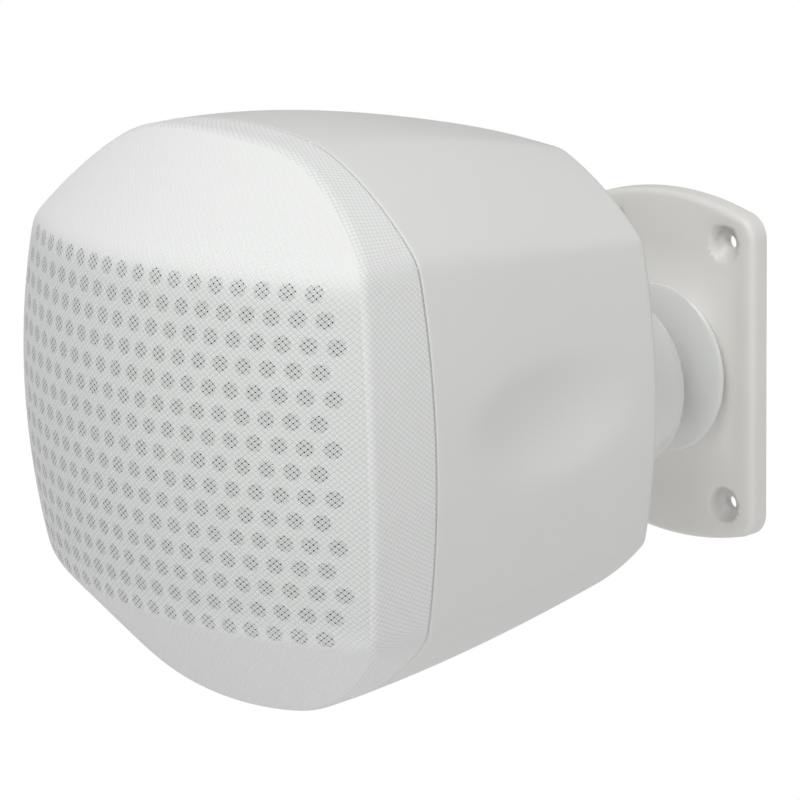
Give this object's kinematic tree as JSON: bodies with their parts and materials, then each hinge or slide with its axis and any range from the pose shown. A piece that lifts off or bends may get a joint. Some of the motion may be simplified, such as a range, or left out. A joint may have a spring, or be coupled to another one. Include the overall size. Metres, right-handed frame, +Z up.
{
  "type": "wall and ceiling mount loudspeaker",
  "caption": "Faceted, softly bowed loudspeaker cabinet with a cloth covered perforated front, on a ball swivel with a clamp ring and a screw-on mounting plate.",
  "frame": {"origin": "centre of the mounting plate's back face, on the axis of the swivel", "axes": "+Z up, the wall or ceiling is the plane y = 0 on the +Y side, the speaker's front faces -Y, +X to the right seen from the front"},
  "size_m": [0.152, 0.2272, 0.1672],
  "materials": {
    "white_shell": "fine satin moulded ABS, white",
    "white_gloss": "smooth glossy moulded ABS, white",
    "white_panel": "moulded perforated panel, white",
    "speaker_cloth": "fine knitted speaker cloth, white",
    "bright_steel": "zinc plated steel",
    "black_steel": "black coated pressed steel",
    "black_plastic": "black moulded plastic",
    "seat_plastic": "slippery dark grey bearing plastic",
    "red_plastic": "red moulded plastic",
    "brass": "spring brass",
    "red_wire": "red insulated wire",
    "black_wire": "black insulated wire",
    "wadding": "loose polyester wadding",
    "foam": "black foam gasket",
    "rubber": "soft black rubber",
    "paper": "pressed black paper",
    "coil": "lacquered copper winding on a paper former",
    "spider_cloth": "resin stiffened cloth",
    "ferrite": "sintered ferrite",
    "fibre_board": "hard paper board with plated tags"
  },
  "bodies": {
    "mounting": {"wall_plate": "white_shell", "boss_cover": "white_gloss", "ball_stud": "bright_steel", "stud_nut": "bright_steel"},
    "wall_seat": {"seat_ring_wall": "seat_plastic"},
    "arm_seat": {"seat_ring_arm": "seat_plastic"},
    "speaker": {"swivel_arm": "white_gloss", "arm_screws": "bright_steel", "cabinet": "white_shell", "terminal_cup": "black_plastic", "cup_screws": "black_steel", "contact_spring_red": "brass", "contact_spring_black": "brass", "hookup_wire_red": "red_wire", "hookup_wire_black": "black_wire", "damping_wad": "wadding", "baffle_gasket": "foam", "baffle": "black_plastic", "baffle_screws": "black_steel", "front_grille": "white_panel", "grille_cloth": "speaker_cloth", "driver_basket": "black_steel", "driver_gasket": "foam", "driver_screws": "black_steel", "surround": "rubber", "spider": "spider_cloth", "top_plate": "bright_steel", "magnet": "ferrite", "yoke": "bright_steel", "terminal_strip": "fibre_board"},
    "ring": {"clamp_ring": "white_gloss"},
    "red_lever": {"terminal_lever_red": "red_plastic"},
    "black_lever": {"terminal_lever_black": "black_plastic"},
    "moving_cone": {"cone": "paper", "dust_cap": "paper", "voice_coil": "coil"}
  },
  "joints": [
    {"name": "pan", "type": "hinge", "parent": "mounting", "child": "wall_seat", "pos_m": [0, -0.038, 0], "axis": [0, 0, 1], "range_deg": [-17, 17]},
    {"name": "tilt", "type": "hinge", "parent": "wall_seat", "child": "arm_seat", "pos_m": [0, -0.038, 0], "axis": [1, 0, 0], "range_deg": [-17, 17]},
    {"name": "roll", "type": "hinge", "parent": "arm_seat", "child": "speaker", "pos_m": [0, -0.038, 0], "axis": [0, 1, 0], "continuous": true},
    {"name": "clamp_turn", "type": "hinge", "parent": "speaker", "child": "ring", "pos_m": [0, -0.038, 0], "axis": [0, 1, 0], "range_deg": [0, 90]},
    {"name": "red_push", "type": "hinge", "parent": "speaker", "child": "red_lever", "pos_m": [0.0103, -0.0935, 0.066], "axis": [-1, 0, 0], "range_deg": [0, 18], "stiffness_Nm_per_rad": 0.1, "springref_deg": -34.38, "deforming": ["contact_spring_red"]},
    {"name": "black_push", "type": "hinge", "parent": "speaker", "child": "black_lever", "pos_m": [-0.0103, -0.0935, 0.066], "axis": [-1, 0, 0], "range_deg": [0, 18], "stiffness_Nm_per_rad": 0.1, "springref_deg": -34.38, "deforming": ["contact_spring_black"]},
    {"name": "cone_travel", "type": "slide", "parent": "speaker", "child": "moving_cone", "axis": [0, 1, 0], "range_m": [-0.003, 0.003], "stiffness_N_per_m": 1000, "deforming": ["surround", "spider"]}
  ]
}
